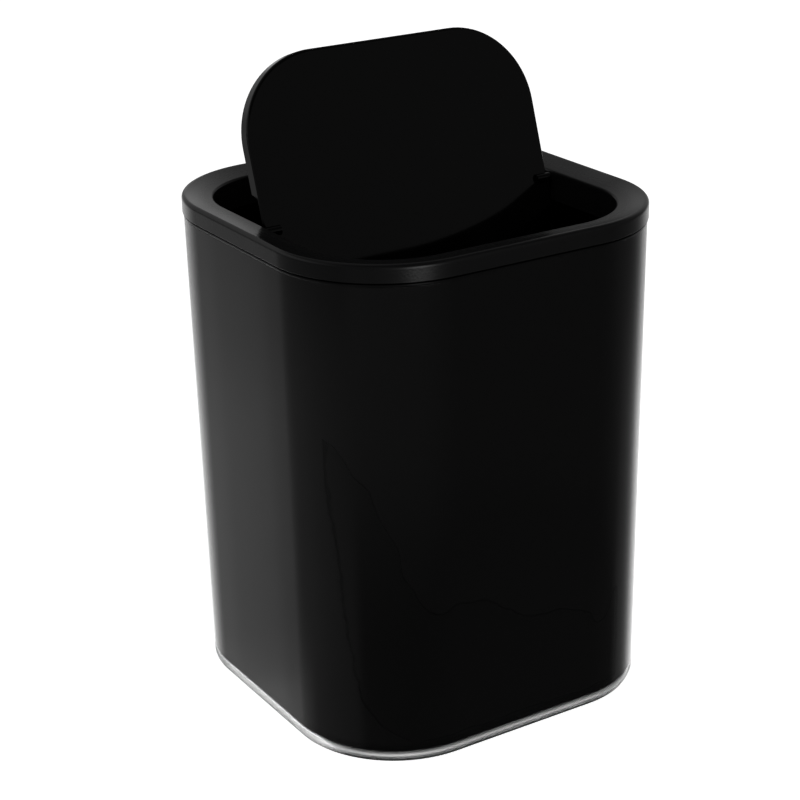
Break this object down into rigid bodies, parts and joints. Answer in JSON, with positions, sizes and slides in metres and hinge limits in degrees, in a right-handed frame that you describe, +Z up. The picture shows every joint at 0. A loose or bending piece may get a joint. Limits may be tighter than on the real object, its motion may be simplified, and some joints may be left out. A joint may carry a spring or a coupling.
{
  "type": "swing-lid bathroom bin",
  "caption": "Rounded-square bathroom bin: clear outer shell, black lift-out liner, lift-off lid ring and a flap that swings on pins.",
  "frame": {"origin": "on the floor, under the middle of the bin", "axes": "+Z up, -Y towards the bin's front face, X along the flap's pivot axis"},
  "size_m": [0.19, 0.19, 0.3123],
  "materials": {
    "clear_acrylic": "clear, polished",
    "liner_black": "gloss",
    "lid_satin_black": "fine satin",
    "flap_smooth_black": "smooth semi-gloss",
    "pin_steel": "turned",
    "pad_rubber": "matt"
  },
  "bodies": {
    "shell": {"outer_shell": "clear_acrylic", "foot_pad_front_left": "pad_rubber", "foot_pad_front_right": "pad_rubber", "foot_pad_back_left": "pad_rubber", "foot_pad_back_right": "pad_rubber"},
    "liner": {"inner_liner": "liner_black"},
    "lid": {"lid_frame": "lid_satin_black"},
    "flap": {"flap_panel": "flap_smooth_black", "pivot_pin_left": "pin_steel", "pivot_pin_right": "pin_steel"}
  },
  "joints": [
    {"name": "liner_lift", "type": "slide", "parent": "shell", "child": "liner", "axis": [0, 0, 1], "range_m": [0, 0.235]},
    {"name": "lid_lift", "type": "slide", "parent": "liner", "child": "lid", "axis": [0, 0, 1], "range_m": [0, 0.1]},
    {"name": "flap_swing", "type": "hinge", "parent": "lid", "child": "flap", "pos_m": [0, 0, 0.2382], "axis": [1, 0, 0], "range_deg": [-161.5, 18.5]}
  ]
}
